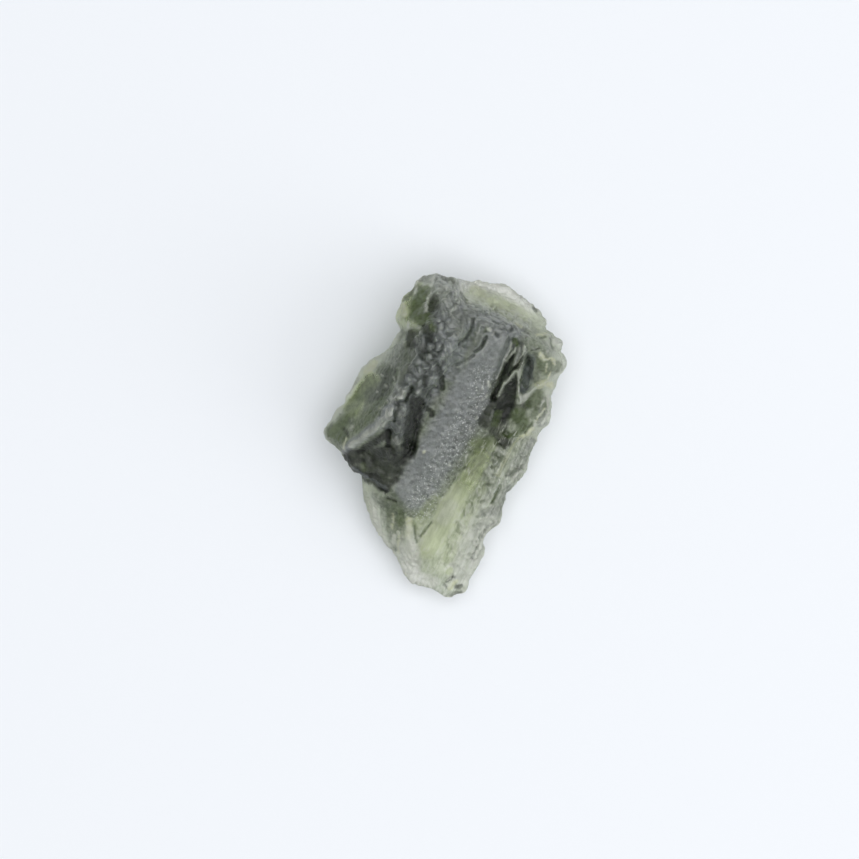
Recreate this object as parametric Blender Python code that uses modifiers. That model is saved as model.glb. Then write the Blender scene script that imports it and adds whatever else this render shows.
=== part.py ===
"""A rough moldavite: one natural piece of etched green glass, lying on the small flat spot it rests on.

Z is up, Y runs along the stone's long side and X across it, and the stone is seen best from above.
Three convex blocks give its broken faces: the body, the high ridge and the wing. One even skin is
drawn over the joined blocks. The skin is then worn the way soil acid wears the real glass: named
hollows and crests first, then swells, lumps, flutes and scalloped pits. The foot stays flat.
"""

import bmesh
import bpy
import numpy as np
from mathutils import Vector, noise

MM = 0.001

LENGTH = 20.0 * MM
WIDTH = 15.0 * MM
REST_CUT = 0.12 * MM
SKIN_STEP = 0.17 * MM
TRIANGLES = 8600

# Corner points of each block, in millimetres from the middle of the stone's outline; the third is height.
BODY_RIM = [
    (0.8, 9.7, 4.2),
    (2.2, 9.55, 3.4),
    (3.7, 9.35, 2.9),
    (4.7, 8.55, 2.7),
    (5.6, 8.0, 2.8),
    (6.2, 6.95, 3.0),
    (7.1, 6.1, 3.3),
    (7.6, 4.5, 3.6),
    (6.6, 2.9, 3.2),
    (6.65, 1.4, 2.8),
    (5.6, -0.2, 2.4),
    (4.8, -1.8, 2.1),
    (3.6, -4.0, 1.9),
    (2.3, -5.9, 1.9),
    (1.7, -7.9, 1.8),
    (1.5, -9.4, 1.8),
    (0.4, -10.1, 1.8),
    (-0.7, -9.8, 1.7),
    (-2.2, -9.4, 1.6),
    (-3.1, -7.6, 1.6),
    (-3.9, -6.7, 1.7),
    (-4.6, -5.3, 1.8),
    (-5.1, -3.6, 2.0),
    (-5.3, -2.2, 2.2),
    (-5.1, -1.0, 2.4),
]
RIM_THICKNESS = 0.85
RIM_TUCK = 0.97
BODY_TOP = [
    (0.9, 8.6, 5.9),
    (1.7, 7.2, 7.6),
    (4.4, 6.0, 6.75),
    (6.5, 4.8, 5.1),
    (2.7, 2.8, 5.9),
    (1.6, 0.1, 5.1),
    (0.85, -1.5, 4.65),
    (-1.7, -4.2, 4.15),
    (-3.1, -2.9, 4.9),
    (0.2, 4.2, 6.95),
    (-0.9, -8.0, 2.6),
    (-3.7, -3.9, 3.3),
]
FOOT = [
    (-1.8, 3.4, 0.0),
    (1.2, 4.6, 0.0),
    (3.0, 2.8, 0.0),
    (2.9, -0.8, 0.0),
    (1.0, -2.8, 0.0),
    (-1.7, -2.6, 0.0),
    (-2.7, 0.2, 0.0),
]
RIDGE = [
    (-1.3, 9.85, 4.6),
    (-0.3, 10.0, 4.8),
    (0.6, 9.7, 5.0),
    (-0.6, 9.2, 6.2),
    (0.7, 8.8, 6.6),
    (-1.0, 6.6, 8.2),
    (1.5, 6.6, 7.9),
    (-1.9, 4.6, 8.9),
    (0.0, 5.0, 8.8),
    (-2.9, 2.6, 9.0),
    (-1.3, 2.4, 8.8),
    (-3.4, 1.0, 8.5),
    (-2.2, 0.7, 8.1),
    (-2.8, 0.0, 7.9),
    (-2.6, 8.2, 4.2),
    (-3.2, 7.5, 4.0),
    (-2.2, 9.1, 4.4),
    (-3.5, 6.0, 4.2),
    (-3.5, 3.6, 5.0),
    (0.35, 4.3, 6.7),
    (-0.55, 2.4, 6.3),
    (-1.45, 0.5, 5.8),
    (-2.3, -1.1, 5.3),
    (-3.1, -2.9, 4.8),
    (-1.6, 7.0, 2.2),
    (-1.8, 2.0, 1.6),
    (0.0, 3.0, 1.6),
    (0.4, 8.2, 3.0),
]
WING = [
    (-7.65, 0.3, 2.9),
    (-7.4, -0.4, 2.9),
    (-6.9, 1.5, 3.2),
    (-5.9, 2.9, 3.5),
    (-5.2, 4.1, 3.7),
    (-4.4, 4.8, 3.9),
    (-3.4, 5.3, 4.4),
    (-3.1, 3.6, 6.9),
    (-3.3, 1.6, 8.0),
    (-6.5, -0.95, 4.3),
    (-6.6, -1.3, 3.4),
    (-5.0, -2.7, 4.2),
    (-3.3, -3.4, 4.9),
    (-3.4, 0.5, 8.0),
    (-2.8, 0.1, 7.7),
    (-6.8, 0.3, 2.3),
    (-5.2, -1.0, 2.6),
    (-3.6, -2.4, 3.0),
    (-4.0, 3.4, 2.0),
    (-2.5, 0.0, 1.0),
]

# Hollows and crests of the upper side: (path in millimetres, half width, lift). A negative lift carves.
STROKES = {
    "slot beside the band": ([(4.1, 5.8), (3.3, 3.4), (2.6, 1.5)], 0.30, -0.75),
    "pale line": ([(4.7, 5.7), (4.1, 4.0), (3.2, 2.6)], 0.17, 0.30),
    "oval pit": ([(5.0, 4.6), (4.85, 3.1)], 0.36, -1.00),
    "fork": ([(4.5, 4.3), (4.4, 2.6), (5.4, 3.0), (6.4, 3.3)], 0.20, 0.30),
    "right hollow": ([(3.9, 2.1), (3.6, 0.5)], 0.75, -0.70),
    "right hollow end": ([(5.3, 1.3), (4.4, 0.6)], 0.55, -0.40),
    "right lobe": ([(6.0, 4.6), (6.7, 4.0)], 0.60, 0.35),
    "top right slope": ([(2.2, 8.7), (3.8, 8.0), (5.4, 6.9)], 0.95, -0.80),
    "long window": ([(2.4, -0.6), (0.9, -2.9), (-0.6, -5.4)], 0.70, -0.40),
    "right crest": ([(5.9, 1.4), (3.7, -0.9), (2.5, -2.9), (1.6, -5.2)], 0.28, 0.35),
    "left window": ([(-4.7, 2.9), (-5.4, 1.3)], 0.85, -0.45),
    "blade foot": ([(-3.7, 2.1), (-6.2, 0.4)], 0.28, -0.30),
    "blade edge": ([(-3.4, 1.1), (-6.1, -0.7)], 0.24, 0.30),
    "dark face": ([(-4.6, -1.1), (-3.3, -2.0)], 0.85, -0.45),
    "horn hollow": ([(-1.8, 8.5), (-2.2, 6.9)], 0.45, -0.45),
    "horn cleft": ([(-0.9, 8.2), (-1.5, 6.3), (-2.4, 5.0)], 0.34, -0.70),
    "shoulder groove": ([(1.1, 8.2), (1.3, 6.6), (1.6, 5.6)], 0.36, -0.35),
    "lower left flute": ([(-3.9, -4.4), (-3.5, -5.6), (-3.0, -7.0)], 0.34, -0.35),
    "lower left rib": ([(-2.9, -4.6), (-2.6, -5.8), (-2.2, -7.8)], 0.28, 0.18),
    "tip hollow": ([(-0.9, -9.2), (-1.7, -8.2)], 0.50, -0.25),
}
# The same on the under side, where a lift upwards thins the glass above it.
UNDER_STROKES = {
    "under the long window": ([(2.2, -2.4), (0.8, -4.4), (-1.0, -7.6)], 1.30, 0.95),
    "under the top right slope": ([(2.6, 8.6), (4.4, 7.8)], 1.10, 0.60),
    "under the left window": ([(-4.7, 3.4), (-5.6, 1.6)], 1.00, 0.60),
}
STROKE_SLOPES = (0.05, 0.45)

# Smooth broken faces the etching has hardly bitten: (path in millimetres, half width, share of relief left).
CALM_FACES = {
    "band": ([(3.0, 5.3), (1.0, 1.8), (-2.0, -3.2)], 1.30, 0.20),
    "long window": ([(2.3, -0.6), (0.8, -2.9), (-1.3, -7.0)], 0.80, 0.25),
    "blade": ([(-3.6, 1.9), (-6.1, -0.2)], 0.55, 0.20),
    "left window": ([(-4.6, 3.2), (-5.9, 1.2)], 0.90, 0.35),
    "dark face": ([(-4.8, -1.2), (-3.4, -2.0)], 0.90, 0.45),
    "tip": ([(0.8, -9.2), (-1.8, -8.9)], 1.20, 0.40),
}
CALM_FADE = (0.7, 1.3)

# Widths and heights of the worn relief, in millimetres.
SWELL_WIDTH, SWELL_HEIGHT = 2.4, 0.26
LUMP_WIDTH, LUMP_HEIGHT = 0.9, 0.17
LUMP_PLACE = Vector((7.0, 3.0, 1.0))
FLUTE_WIDTHS, FLUTE_HEIGHT = (0.9, 4.0, 1.1), 0.18
PIT_WIDTH, PIT_DEPTH = 1.05, 0.24
PIT_NARROWEST = 1e-6
FOOT_FADE = (0.1 * MM, 1.1 * MM)


def clear_scene():
    for leftover in list(bpy.data.objects):
        bpy.data.objects.remove(leftover)


def hull_block(name, corners, collection):
    """A broken block of glass: the convex solid around its corner points."""
    mesh = bpy.data.meshes.new(name)
    shape = bmesh.new()
    for corner in corners:
        shape.verts.new(Vector(corner) * MM)
    hull = bmesh.ops.convex_hull(shape, input=shape.verts)
    inside = [v for v in hull["geom_interior"] if isinstance(v, bmesh.types.BMVert)]
    bmesh.ops.delete(shape, geom=inside, context="VERTS")
    bmesh.ops.recalc_face_normals(shape, faces=shape.faces)
    shape.to_mesh(mesh)
    shape.free()
    block = bpy.data.objects.new(name, mesh)
    block.hide_render = True
    block.display_type = "WIRE"
    collection.objects.link(block)
    return block


def rim_corners():
    """The rim's corners and, tucked in under them, those of its lower edge."""
    under = [(x * RIM_TUCK, y * RIM_TUCK, z - RIM_THICKNESS) for x, y, z in BODY_RIM]
    return BODY_RIM + under


def evaluated_mesh(obj, name):
    bpy.context.view_layer.update()
    graph = bpy.context.evaluated_depsgraph_get()
    mesh = bpy.data.meshes.new_from_object(obj.evaluated_get(graph))
    mesh.name = name
    return mesh


def add_skin(obj):
    """One closed skin over everything in the object, at an even step."""
    skin = obj.modifiers.new("even skin", "REMESH")
    skin.mode = "VOXEL"
    skin.voxel_size = SKIN_STEP


def skin_over(name, blocks, collection):
    """The joined blocks under one skin, as a new object."""
    first, *others = blocks
    for block in others:
        union = first.modifiers.new("join " + block.name, "BOOLEAN")
        union.operation = "UNION"
        union.object = block
    add_skin(first)
    stone = bpy.data.objects.new(name, evaluated_mesh(first, name))
    collection.objects.link(stone)
    first.modifiers.clear()
    return stone


def points_and_normals(mesh):
    count = len(mesh.vertices)
    points = np.empty(count * 3)
    normals = np.empty(count * 3)
    mesh.vertices.foreach_get("co", points)
    mesh.vertices.foreach_get("normal", normals)
    return points.reshape(-1, 3), normals.reshape(-1, 3)


def move_points(mesh, points):
    mesh.vertices.foreach_set("co", points.ravel())
    mesh.update()


def smooth_step(limits, value):
    low, high = limits
    share = np.clip((value - low) / (high - low), 0, 1)
    return share * share * (3 - 2 * share)


def distance_to_path(points, path):
    """How far each point is, seen from above, from a path of straight stretches."""
    nearest = np.full(len(points), np.inf)
    flat = points[:, :2]
    for start, end in zip(path, path[1:]):
        start, end = np.array(start) * MM, np.array(end) * MM
        along = end - start
        share = np.clip((flat - start) @ along / (along @ along), 0, 1)
        gap = flat - start - share[:, None] * along
        nearest = np.minimum(nearest, np.hypot(gap[:, 0], gap[:, 1]))
    return nearest


def sculpt_strokes(mesh, strokes, side):
    """Moves the upper side (+1) or the under side (-1) straight up or down along each named stroke."""
    points, normals = points_and_normals(mesh)
    facing = smooth_step(STROKE_SLOPES, normals[:, 2] * side)
    lift = np.zeros(len(points))
    for path, half_width, height in strokes.values():
        reach = distance_to_path(points, path) / (half_width * MM)
        lift += height * MM * np.exp(-(reach**2))
    points[:, 2] += lift * facing
    move_points(mesh, points)


def scallop(place):
    """Pits with sharp rims between them: 0 on a rim, falling to -1 in the middle of a pit."""
    near, second = noise.voronoi(place / PIT_WIDTH)[0][:2]
    return min(1.0, near / max(second, PIT_NARROWEST)) ** 2 - 1.0


def relief(place):
    """How far the worn skin stands out at a place, both in millimetres."""
    swell = noise.noise(place / SWELL_WIDTH) * SWELL_HEIGHT
    lump = noise.noise(place / LUMP_WIDTH + LUMP_PLACE) * LUMP_HEIGHT
    along_flutes = Vector(step / width for step, width in zip(place, FLUTE_WIDTHS))
    flute = noise.noise(along_flutes) * FLUTE_HEIGHT
    return swell + lump + flute + scallop(place) * PIT_DEPTH


def wear_skin(mesh):
    """Relief along the skin's normals, weak on the calm faces and dying out at the flat foot."""
    points, normals = points_and_normals(mesh)
    depth = np.array([relief(Vector(point) / MM) for point in points]) * MM
    calm = np.ones(len(points))
    for path, half_width, left in CALM_FACES.values():
        reach = distance_to_path(points, path) / (half_width * MM)
        calm = np.minimum(calm, left + (1 - left) * smooth_step(CALM_FADE, reach))
    faces_up = smooth_step(STROKE_SLOPES, normals[:, 2])
    calm = 1 + (calm - 1) * faces_up
    fade = smooth_step(FOOT_FADE, points[:, 2])
    move_points(mesh, points + normals * (depth * fade * calm)[:, None])


def thin_out(stone):
    """Heals folds with a fresh skin, then keeps fewer, well placed triangles for the same form."""
    add_skin(stone)
    stone.data = evaluated_mesh(stone, stone.name)
    stone.modifiers.clear()
    decimate = stone.modifiers.new("fewer faces", "DECIMATE")
    decimate.ratio = TRIANGLES / (2 * len(stone.data.polygons))
    stone.data = evaluated_mesh(stone, stone.name)
    stone.modifiers.clear()


def cut_flat_foot(mesh):
    """Cuts the lowest sliver away, so that the stone rests on one true plane."""
    shape = bmesh.new()
    shape.from_mesh(mesh)
    cut = bmesh.ops.bisect_plane(
        shape,
        geom=shape.verts[:] + shape.edges[:] + shape.faces[:],
        plane_co=(0, 0, REST_CUT),
        plane_no=(0, 0, -1),
        clear_outer=True,
    )
    rim = [e for e in cut["geom_cut"] if isinstance(e, bmesh.types.BMEdge)]
    bmesh.ops.holes_fill(shape, edges=rim)
    bmesh.ops.recalc_face_normals(shape, faces=shape.faces)
    shape.to_mesh(mesh)
    shape.free()


def fit_to_size(mesh):
    """Brings the stone to its real length and width, with the origin under its middle at the foot."""
    points, _ = points_and_normals(mesh)
    low, high = points.min(axis=0), points.max(axis=0)
    middle = (low + high) / 2
    scale = np.array([WIDTH / (high[0] - low[0]), LENGTH / (high[1] - low[1]), 1.0])
    move_points(mesh, (points - (middle[0], middle[1], low[2])) * scale)


def glass_material():
    material = bpy.data.materials.new("green glass")
    material.use_nodes = True
    shader = material.node_tree.nodes["Principled BSDF"]
    shader.inputs["Base Color"].default_value = (0.16, 0.21, 0.12, 1.0)
    shader.inputs["Roughness"].default_value = 0.35
    shader.inputs["Metallic"].default_value = 0.0
    return material


def main():
    clear_scene()
    guides = bpy.data.collections.new("guides")
    model = bpy.data.collections.new("moldavite")
    bpy.context.scene.collection.children.link(guides)
    bpy.context.scene.collection.children.link(model)
    blocks = [
        hull_block("body block", rim_corners() + BODY_TOP + FOOT, guides),
        hull_block("ridge block", RIDGE, guides),
        hull_block("wing block", WING, guides),
    ]
    stone = skin_over("moldavite", blocks, model)
    sculpt_strokes(stone.data, STROKES, 1)
    sculpt_strokes(stone.data, UNDER_STROKES, -1)
    wear_skin(stone.data)
    thin_out(stone)
    cut_flat_foot(stone.data)
    fit_to_size(stone.data)
    stone.data.materials.append(glass_material())
    return stone


main()
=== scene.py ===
import math

import bmesh
import bpy
import numpy as np
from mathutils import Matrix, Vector, noise
from mathutils.bvhtree import BVHTree


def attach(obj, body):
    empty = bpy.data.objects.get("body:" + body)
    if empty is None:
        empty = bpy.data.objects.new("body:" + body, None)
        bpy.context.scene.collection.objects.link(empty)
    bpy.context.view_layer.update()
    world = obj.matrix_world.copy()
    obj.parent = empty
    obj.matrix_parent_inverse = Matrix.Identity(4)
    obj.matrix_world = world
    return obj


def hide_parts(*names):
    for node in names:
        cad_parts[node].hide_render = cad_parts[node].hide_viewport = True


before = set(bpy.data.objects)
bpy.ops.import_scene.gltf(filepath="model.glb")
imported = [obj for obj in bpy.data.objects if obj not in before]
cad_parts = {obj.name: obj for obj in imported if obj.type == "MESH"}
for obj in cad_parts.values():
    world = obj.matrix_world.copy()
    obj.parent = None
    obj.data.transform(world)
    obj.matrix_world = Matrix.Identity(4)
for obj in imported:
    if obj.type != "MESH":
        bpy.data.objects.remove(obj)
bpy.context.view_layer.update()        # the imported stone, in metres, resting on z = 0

mm = 0.001

# Sizes in this dictionary are millimetres. A place is across and along from the middle, seen from above.
stone = {
    "piece": "etched_stone",
    "roughStep": 0.075,      # skin that the cuts go into
    "skinStep": 0.052,       # skin that the fine relief goes into
    "meltRounds": 14,
    "smoothRounds": 2,
    "triangles": 194000,
    "footFade": (0.05, 0.6),
    "lean": 24.8,            # degrees from straight up to the way the long window runs
    "sway": (0.7, 0.12),     # size and reach of the bends in a mark's edge
    "fineSway": (0.22, 0.07),
    # Soft edges, in half widths or reaches, and skin counted as facing up, by the height of its normal.
    "grabEdge": (0.1, 1.0),
    "markEdge": (0.25, 1.35),
    "zoneEdge": (0.7, 1.25),
    "facing": {"carved": (0.05, 0.35), "worn": (0.0, 0.35), "painted": (-0.35, 0.0), "steep": (0.08, 0.32)},
    # Each zone: a path and the half width round it.
    "zones": {
        "ridge": ([(0.2, 8.9), (-0.7, 6.2), (-0.9, 4.2), (-1.8, 2.6), (-2.9, 1.0)], 1.25),
        "shoulder": ([(0.4, 8.0), (2.2, 7.4), (4.4, 6.7)], 0.95),
        "band": ([(3.1, 5.2), (1.1, 1.8), (-1.8, -3.2)], 1.25),
        "bandPits": ([(2.6, 3.4), (1.6, 1.6), (0.6, 0.2), (-0.6, -2.4), (-1.7, -4.6)], 0.9),
        "longWindow": ([(2.5, -0.6), (1.3, -2.4), (0.3, -4.2), (-0.9, -6.4)], 0.75),
        "scallops": ([(3.1, -1.2), (2.4, -3.2), (1.5, -5.2), (0.8, -7.4)], 0.9),
        "rightRim": ([(6.1, 1.8), (5.2, -0.3), (4.1, -2.4), (2.8, -5.2), (1.7, -8.0)], 0.6),
        "lowerLeft": ([(-4.2, -3.8), (-3.3, -6.0), (-2.5, -8.2)], 1.0),
        "topRight": ([(2.0, 8.6), (3.8, 7.6), (5.6, 6.6)], 1.1),
        "leftWindow": ([(-4.7, 3.4), (-6.4, 0.9)], 0.8),
        "blade": ([(-3.6, 1.1), (-6.0, -0.6)], 0.35),
        "darkFace": ([(-5.0, -1.5), (-3.6, -1.4), (-2.9, -0.8)], 0.9),
        "streaks": ([(3.4, -1.2), (1.6, -4.6), (-0.6, -8.4)], 2.1),
        # where painted glints fall on the band
        "glints": ([(2.4, 3.4), (1.8, 1.6), (0.9, 0.0), (-0.4, -2.2), (-1.5, -4.2)], 1.0),
    },
    # Each grab pulls the outline at a place, within a reach, by so much across and up.
    "grabs": [
        ((-6.0, 2.9), 1.6, (0.24, -0.20)),
        ((-7.4, 0.0), 0.8, (-0.10, -0.16)),
        ((-5.8, -1.9), 0.9, (-0.18, -0.22)),
        ((1.0, -9.4), 0.6, (0.16, -0.24)),
        ((3.8, -4.1), 1.3, (-0.34, 0.10)),
        ((2.9, -6.2), 1.1, (-0.45, 0.12)),
        ((6.1, 1.0), 0.9, (0.36, -0.10)),
        ((6.8, 2.7), 1.0, (-0.42, 0.0)),
        ((7.1, 3.5), 0.7, (-0.26, 0.1)),
        ((6.3, 6.7), 0.5, (-0.18, -0.06)),
        ((7.0, 5.9), 0.5, (0.24, 0.0)),
        ((7.15, 5.2), 0.3, (-0.16, 0.0)),
        ((-3.3, 6.3), 1.1, (0.5, 0.0)),
        ((-2.9, 7.8), 0.7, (-0.04, 0.0)),
    ],
    # A knob is a grey dome with a dark crease of painted shade round it and a paler top of painted
    # highlight:
    # share of its half width, height, finish and strength of each layer.
    "knobLayers": [(1.5, -0.12, "dark", 0.45), (1.0, 0.24, "steel", 0.7), (0.5, 0.05, "steel", 0.5)],
    "knobLength": (0.02, 0.05),
    # The larger knobs of the ridge, each a place and a half width.
    "knobs": [
        ((-0.44, 7.05), 0.18),
        ((-0.30, 6.60), 0.20),
        ((0.08, 6.95), 0.16),
        ((-0.62, 5.88), 0.17),
        ((-0.96, 5.40), 0.21),
        ((-0.50, 5.35), 0.20),
        ((-1.10, 4.78), 0.20),
        ((-0.29, 4.78), 0.23),
        ((-0.83, 4.23), 0.22),
        ((-1.26, 4.16), 0.16),
        ((-1.60, 4.02), 0.19),
        ((-0.07, 4.12), 0.17),
        ((-0.78, 3.45), 0.30),
        ((-1.62, 3.30), 0.20),
        ((-0.70, 2.70), 0.24),
        ((-1.75, 2.75), 0.18),
        ((-2.66, 1.75), 0.24),
        ((-2.30, 3.50), 0.20),
        ((0.35, 8.55), 0.14),
        ((0.85, 7.75), 0.15),
    ],
    # Each mark: path from above, half width, height (minus is a cut), finish, how strong the finish is.
    # A later mark lies over an earlier one. The dark finish is painted shade, in cuts, cracks and creases
    # and on faces turned from the light.
    "marks": [
        # broad tones
        ([(3.3, 5.6), (2.2, 3.7), (1.1, 1.8), (-0.4, -0.8), (-1.9, -3.2)], 1.25, 0.0, "steel", 0.85),
        ([(0.2, 8.9), (-0.3, 7.4), (-0.5, 6.4)], 1.1, 0.0, "grey", 0.7),
        ([(-0.5, 6.2), (-0.9, 4.2), (-1.8, 2.6), (-2.8, 1.0)], 1.1, 0.0, "slate", 0.8),
        ([(0.4, 7.6), (2.0, 7.2), (3.9, 6.6)], 0.85, 0.0, "steel", 0.7),
        ([(0.3, 9.3), (0.9, 8.0), (0.9, 6.9)], 0.95, 0.0, "grey", 0.5),
        ([(-2.9, 5.2), (-3.6, 4.0), (-3.9, 2.9), (-4.6, 1.9)], 0.5, 0.0, "steel", 0.4),
        ([(-0.4, 5.4), (-0.7, 4.0), (-1.1, 2.9), (-1.6, 2.2)], 0.75, 0.0, "smoke", 0.4),
        ([(-2.3, 4.9), (-2.7, 3.9), (-3.6, 2.9)], 0.7, 0.0, "smoke", 0.45),
        ([(-2.6, 1.7), (-2.8, 0.5), (-2.9, -0.3)], 0.4, 0.10, "smoke", 0.55),
        ([(2.4, 2.2), (1.7, 1.0), (0.8, -0.6), (0.1, -2.2)], 0.5, 0.0, "smoke", 0.2),
        ([(2.65, 3.4), (2.1, 2.1), (1.5, 0.9), (0.8, -0.3)], 0.4, 0.0, "smoke", 0.3),
        ([(1.2, 7.2), (2.6, 6.9), (4.4, 6.2)], 0.6, 0.0, "smoke", 0.25),
        ([(-3.4, -3.9), (-2.6, -5.0)], 0.6, 0.0, "moss", 0.5),
        ([(-3.6, -4.1), (-3.4, -5.2), (-3.1, -6.2)], 0.5, 0.0, "smoke", 0.35),
        ([(-3.2, -4.6), (-2.9, -5.8), (-2.8, -6.6)], 0.42, 0.0, "moss", 0.4),
        ([(5.2, -0.4), (4.4, -1.7), (3.5, -3.6), (2.9, -4.9)], 0.42, 0.0, "grey", 0.58),
        ([(3.2, -1.3), (2.4, -3.0), (1.9, -4.2)], 0.6, 0.0, "grey", 0.42),
        ([(2.3, -4.8), (1.6, -6.4), (1.0, -8.2)], 0.9, 0.0, "pale", 0.6),
        ([(2.2, -5.4), (1.2, -7.6), (0.5, -8.8)], 0.5, 0.0, "grey", 0.2),
        ([(2.1, -3.0), (1.4, -4.6), (0.6, -6.2), (0.2, -7.4)], 0.4, 0.0, "olive", 0.4),
        ([(6.3, 5.6), (5.9, 6.6), (4.6, 7.3)], 0.5, 0.0, "grey", 0.35),
        # blunt end and horn
        ([(-2.3, 8.2), (-1.8, 7.2), (-1.2, 6.9)], 0.55, 0.0, "olive", 0.8),
        ([(-1.8, 9.1), (-2.4, 8.4), (-2.8, 7.7), (-2.5, 7.0)], 0.42, 0.0, "olive", 0.7),
        ([(-1.9, 8.8), (-2.3, 8.2), (-2.4, 7.4)], 0.35, 0.0, "moss", 0.4),
        ([(-1.5, 8.4), (-1.7, 7.4), (-1.1, 6.8)], 0.5, -0.10, "moss", 0.92),
        ([(-1.5, 9.0), (-1.1, 8.95)], 0.26, -0.12, "moss", 0.8),
        ([(-0.95, 8.0), (-0.95, 7.2)], 0.32, 0.0, "moss", 0.6),
        ([(-0.74, 8.25), (-0.66, 7.4)], 0.4, -0.30, "dark", 0.72),
        ([(-0.9, 7.2), (-0.7, 6.5)], 0.25, -0.05, "moss", 0.8),
        ([(-2.6, 6.4), (-2.9, 5.4), (-3.2, 4.7)], 0.3, 0.0, "grey", 0.6),
        ([(-2.2, 6.2), (-2.05, 5.6)], 0.32, -0.20, "dark", 0.85),
        ([(-1.2, 6.5), (-1.0, 5.8), (-1.35, 4.9)], 0.3, -0.25, "dark", 0.8),
        ([(-1.7, 6.1), (-1.6, 5.3)], 0.2, 0.05, "smoke", 0.6),
        ([(-1.1, 8.4), (-1.2, 7.6)], 0.1, 0.14, "pale", 0.55),
        ([(-2.65, 8.0), (-2.6, 7.5)], 0.27, 0.20, "straw", 0.7),
        ([(-2.25, 6.95), (-2.25, 6.75)], 0.1, 0.10, "pale", 1.0),
        ([(-2.9, 6.7), (-3.1, 5.8)], 0.2, 0.0, "pale", 0.6),
        ([(-2.45, 8.5), (-1.9, 9.1), (-1.5, 9.7)], 0.17, 0.0, "smoke", 0.5),
        # painted glint: a short pale line on the horn's top edge
        ([(-1.8, 9.35), (-1.45, 9.75)], 0.06, 0.10, "pale", 1.0),
        ([(-1.9, 8.75), (-1.75, 9.0)], 0.09, 0.05, "pale", 0.7),
        ([(-1.2, 9.6), (-0.2, 9.7), (1.2, 9.5)], 0.3, 0.0, "grey", 0.55),
        ([(0.3, 9.5), (0.6, 9.4)], 0.2, 0.0, "moss", 0.35),
        # ridge
        ([(0.3, 5.5), (0.6, 4.8), (0.4, 3.8)], 0.5, 0.0, "steel", 0.8),
        ([(-0.3, 7.2), (0.0, 6.2), (0.2, 5.4)], 0.5, 0.0, "steel", 0.5),
        ([(0.7, 5.3), (1.2, 5.9), (1.7, 6.6)], 0.5, 0.0, "steel", 0.8),
        ([(-0.45, 4.2), (-0.2, 3.6), (-0.2, 3.0)], 0.17, -0.25, "dark", 0.65),
        ([(-1.3, 3.6), (-1.25, 2.7)], 0.16, -0.2, "dark", 0.55),
        ([(-1.7, 2.3), (-1.5, 2.0)], 0.25, -0.10, "dark", 0.7),
        ([(-1.05, 1.8), (-0.85, 1.3)], 0.14, -0.15, "dark", 0.8),
        ([(-3.02, 1.9), (-3.05, 1.0)], 0.1, -0.20, "dark", 0.7),
        ([(-3.0, 3.2), (-2.6, 2.6), (-3.2, 2.35)], 0.2, 0.20, "grey", 0.8),
        ([(-2.45, 2.75), (-2.7, 2.4), (-3.2, 2.3)], 0.14, 0.10, "pale", 0.45),
        ([(-2.05, 2.95), (-2.4, 2.2)], 0.1, -0.30, "dark", 0.95),
        ([(-1.75, 3.2), (-1.7, 2.7)], 0.16, 0.18, "grey", 0.5),
        ([(-2.7, 1.7), (-2.68, 1.35)], 0.22, 0.25, "grey", 0.45),
        # the ridge wall, turned from the light: a cut with painted shade
        ([(-1.7, 2.1), (-1.85, 1.3), (-2.05, 0.4), (-2.2, -0.5)], 0.48, -0.45, "dark", 1.0),
        ([(-2.3, -0.5), (-2.2, -1.0)], 0.36, -0.20, "dark", 1.0),
        ([(-2.0, 0.05), (-2.0, -0.1)], 0.2, 0.15, "smoke", 0.3),
        ([(-2.8, 0.6), (-2.75, 0.3)], 0.17, 0.2, "grey", 0.2),
        ([(-3.0, -0.1), (-2.95, -0.35)], 0.15, 0.2, "grey", 0.4),
        ([(0.35, 8.15), (0.6, 8.05)], 0.09, -0.12, "dark", 0.6),
        ([(0.1, 7.7), (0.2, 7.2)], 0.1, -0.12, "dark", 0.35),
        ([(0.4, 7.65), (0.6, 7.85)], 0.12, 0.10, "pale", 0.3),
        ([(-0.3, 6.7), (-0.25, 6.55)], 0.12, 0.12, "pale", 0.35),
        ([(0.8, 5.7), (1.25, 6.0), (1.55, 6.6), (1.6, 7.1)], 0.1, -0.20, "dark", 0.65),
        ([(0.9, 6.2), (1.1, 6.7)], 0.12, 0.10, "grey", 0.5),
        ([(0.9, 8.8), (1.2, 8.1)], 0.12, -0.08, "smoke", 0.4),
        # upper edge of the band, with painted shade in its cracks
        ([(1.8, 5.8), (1.6, 5.3)], 0.28, 0.0, "smoke", 0.35),
        ([(2.42, 6.05), (2.32, 5.75), (2.1, 5.45), (1.7, 5.1)], 0.1, -0.2, "dark", 0.5),
        ([(2.25, 5.75), (2.2, 5.6)], 0.12, -0.1, "dark", 0.5),
        ([(1.65, 4.9), (1.0, 4.6), (0.4, 4.3)], 0.09, -0.12, "dark", 0.3),
        ([(2.05, 6.7), (1.75, 5.8)], 0.12, 0.14, "grey", 0.7),
        ([(2.5, 6.65), (2.3, 6.4)], 0.1, -0.1, "moss", 0.6),
        # painted glint: a pale spot
        ([(2.62, 6.55), (2.68, 6.5)], 0.14, 0.2, "pale", 1.0),
        ([(2.9, 6.3), (3.1, 6.1)], 0.12, -0.15, "dark", 0.6),
        ([(2.75, 6.1), (2.9, 6.3)], 0.05, 0.1, "pale", 0.5),
        ([(3.4, 6.5), (3.9, 6.4), (4.1, 6.6)], 0.08, -0.10, "dark", 0.4),
        # painted glints: small pale specks down the band
        ([(2.58, 3.3), (2.66, 3.0)], 0.08, 0.08, "pale", 1.0),
        ([(2.8, 2.75), (2.75, 2.6)], 0.05, 0.05, "pale", 0.9),
        ([(2.2, 3.0), (2.15, 2.85)], 0.04, 0.05, "pale", 0.7),
        ([(2.35, 1.7), (2.3, 1.6)], 0.05, 0.05, "pale", 0.8),
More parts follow.
